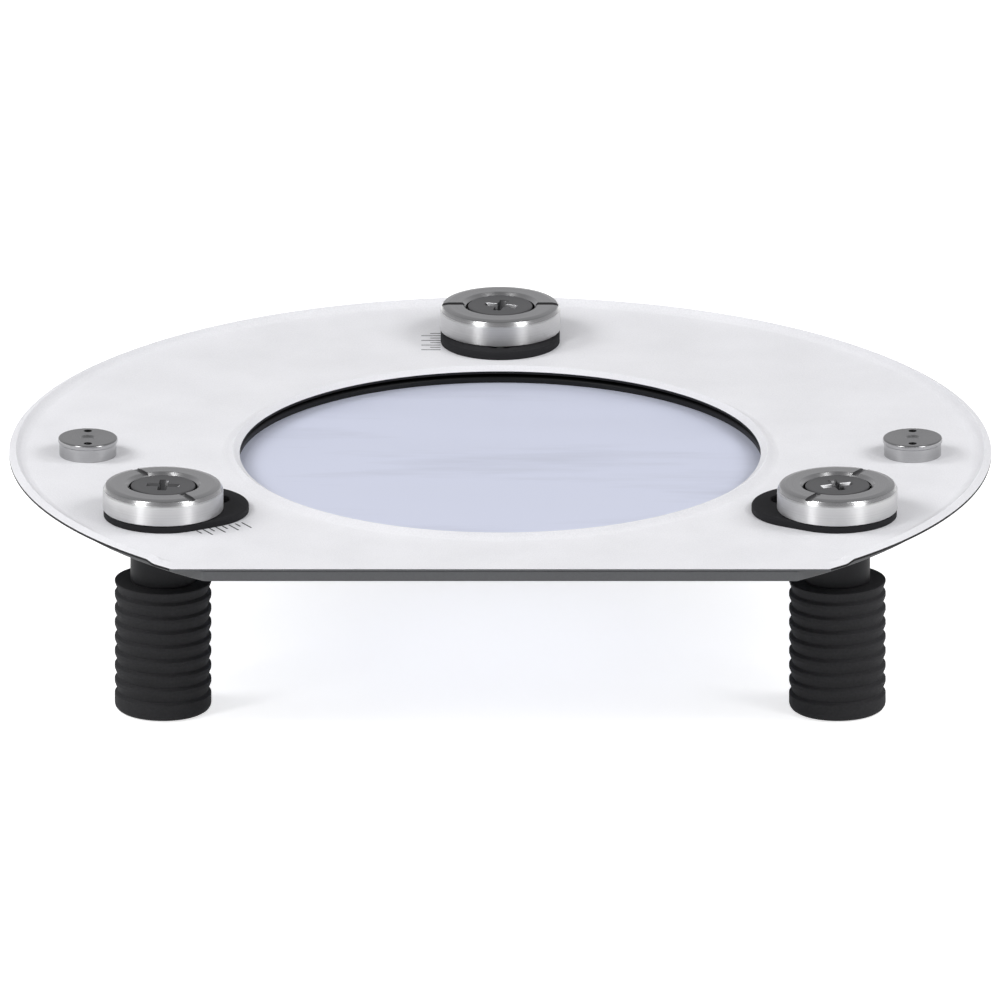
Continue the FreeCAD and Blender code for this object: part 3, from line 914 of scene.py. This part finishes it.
def scale_lines(word):
    """Eight strips beside the bezel, 1 mm apart from radius 44.73; every other one is long."""
    start, half = FLANGE_HALF + 0.02, 0.11
    strips = []
    for k in range(8):
        r, reach = 44.73 + k, 10.6 if k % 2 == 0 else 9.4
        loop = [(r - half, start), (r + half, start), (r + half, reach), (r - half, reach)]
        strips.append(prism("line", placed(loop, FINGERS[word][0]), SHEET_TOP - 0.01, SHEET_TOP + 0.01))
    return join("scale_" + word, strips)


for word in FINGERS:
    finish(scale_lines(word), "mask", None, SCALE_INK)

# %% [markdown]
# ## Floor, light and camera
#
# The filter stands on its three tips on a white floor.  The white of the
# picture comes from what the camera, a mirror or a glass sees of floor and
# world, not from more light on the filter, so the coat keeps its own tone.
# Two tall strips give the discs their paired bright bands.  Two lamps at the
# sides only cast soft shadows, and no metal mirrors them.

# %% Floor and world


def floor():
    """Wide floor just under the finger tips; camera, mirror and glass rays see it lighter."""
    size = 3000.0
    piece = prism("studio_floor", [(-size, -size), (size, -size), (size, size), (-size, size)], -5, -0.02)
    material, add, join_to = new_finish("floor_white", (0.86, 0.86, 0.86), 0.0, 0.9, 0.1)
    ray = add("ShaderNodeLightPath").outputs
    eye = add("ShaderNodeMath", {0: ray["Is Camera Ray"], 1: ray["Is Glossy Ray"]}, operation="ADD")
    seen = add("ShaderNodeMath", {0: eye.outputs[0], 1: ray["Is Transmission Ray"]}, operation="ADD")
    level = add("ShaderNodeMath", {0: seen.outputs[0]}, operation="MULTIPLY", use_clamp=True)
    level.inputs[1].default_value = 0.68
    shader = material.node_tree.nodes["Principled BSDF"]
    shader.inputs["Emission Color"].default_value = (1, 1, 1, 1)
    join_to("Emission Strength", level.outputs[0])
    piece.data.materials.append(material)


def world_light():
    """Even soft light from all round; the camera sees plain white, and mirrors see a graded room."""
    world = bpy.data.worlds.new("studio")
    bpy.context.scene.world = world
    world.use_nodes = True
    tree = world.node_tree
    ray = tree.nodes.new("ShaderNodeLightPath")
    direct = tree.nodes.new("ShaderNodeMath")
    direct.operation = "MAXIMUM"
    tree.links.new(ray.outputs["Is Camera Ray"], direct.inputs[0])
    tree.links.new(ray.outputs["Is Transmission Ray"], direct.inputs[1])
    room = tree.nodes.new("ShaderNodeBackground")
    room.inputs["Color"].default_value = (1, 1, 1, 1)
    room.inputs["Strength"].default_value = 0.30
    white = tree.nodes.new("ShaderNodeBackground")
    white.inputs["Color"].default_value = (1, 1, 1, 1)
    white.inputs["Strength"].default_value = 1.0
    # what a mirror sees: white near the horizon, darker overhead
    where = tree.nodes.new("ShaderNodeTexCoord")
    split = tree.nodes.new("ShaderNodeSeparateXYZ")
    tree.links.new(where.outputs["Generated"], split.inputs["Vector"])
    ramp = tree.nodes.new("ShaderNodeValToRGB")
    ramp.color_ramp.elements[0].position = 0.0
    ramp.color_ramp.elements[0].color = (0.95, 0.95, 0.96, 1)
    ramp.color_ramp.elements[1].position = 0.08
    ramp.color_ramp.elements[1].color = (0.52, 0.52, 0.53, 1)
    high_up = ramp.color_ramp.elements.new(0.95)
    high_up.color = (0.21, 0.21, 0.215, 1)
    tree.links.new(split.outputs["Z"], ramp.inputs["Fac"])
    mirror = tree.nodes.new("ShaderNodeBackground")
    tree.links.new(ramp.outputs["Color"], mirror.inputs["Color"])
    glossy = tree.nodes.new("ShaderNodeMixShader")
    tree.links.new(ray.outputs["Is Glossy Ray"], glossy.inputs[0])
    tree.links.new(room.outputs[0], glossy.inputs[1])
    tree.links.new(mirror.outputs[0], glossy.inputs[2])
    final = tree.nodes.new("ShaderNodeMixShader")
    tree.links.new(direct.outputs[0], final.inputs[0])
    tree.links.new(glossy.outputs[0], final.inputs[1])
    tree.links.new(white.outputs[0], final.inputs[2])
    tree.links.new(final.outputs[0], tree.nodes["World Output"].inputs["Surface"])


def softbox(name, place, aim, size, power, mirrored=True):
    """Area lamp at a place, turned to face a point, both in metres; metal may mirror it or not."""
    data = bpy.data.lights.new(name, "AREA")
    data.shape = "RECTANGLE"
    data.size, data.size_y = size
    data.energy = power
    lamp = bpy.data.objects.new(name, data)
    lamp.location = place
    way = Vector(aim) - Vector(place)
    lamp.rotation_euler = way.to_track_quat("-Z", "Y").to_euler()
    lamp.visible_glossy = mirrored
    bpy.context.scene.collection.objects.link(lamp)


floor()
world_light()
MIDDLE = (0, 0, 0.02)
softbox("strip_left", (-0.43, -0.36, 0.52), MIDDLE, (0.10, 0.45), 1.6)
softbox("strip_right", (0.43, -0.36, 0.52), MIDDLE, (0.15, 0.45), 1.3)
softbox("side_left", (-0.46, 0.02, 0.36), MIDDLE, (0.20, 0.20), 1.35, mirrored=False)
softbox("side_right", (0.46, -0.02, 0.36), MIDDLE, (0.20, 0.20), 1.2, mirrored=False)

# %% [markdown]
# ## Camera
#
# The photograph is taken from far away, so near and far circles share one
# centre line.  An orthographic camera does the same.  Its height over the
# horizon follows from the round aperture: the ellipse is 0.3135 as high as
# it is wide, and the arcsine of that is 18.3 degrees.

# %% Camera and view settings
ELEVATION = np.arcsin(0.3135)
camera_data = bpy.data.cameras.new("camera")
camera_data.type = "ORTHO"
camera_data.ortho_scale = 0.13435
camera_data.clip_start, camera_data.clip_end = 0.01, 20.0
camera = bpy.data.objects.new("camera", camera_data)
bpy.context.scene.collection.objects.link(camera)
aim = Vector((-0.00003, 0.0, 0.02076))
back = Vector((0.0, -np.cos(ELEVATION), np.sin(ELEVATION)))
camera.location = aim + back * 1.2
camera.rotation_euler = (-back).to_track_quat("-Z", "Y").to_euler()
bpy.context.scene.camera = camera
bpy.context.scene.view_settings.view_transform = "Standard"
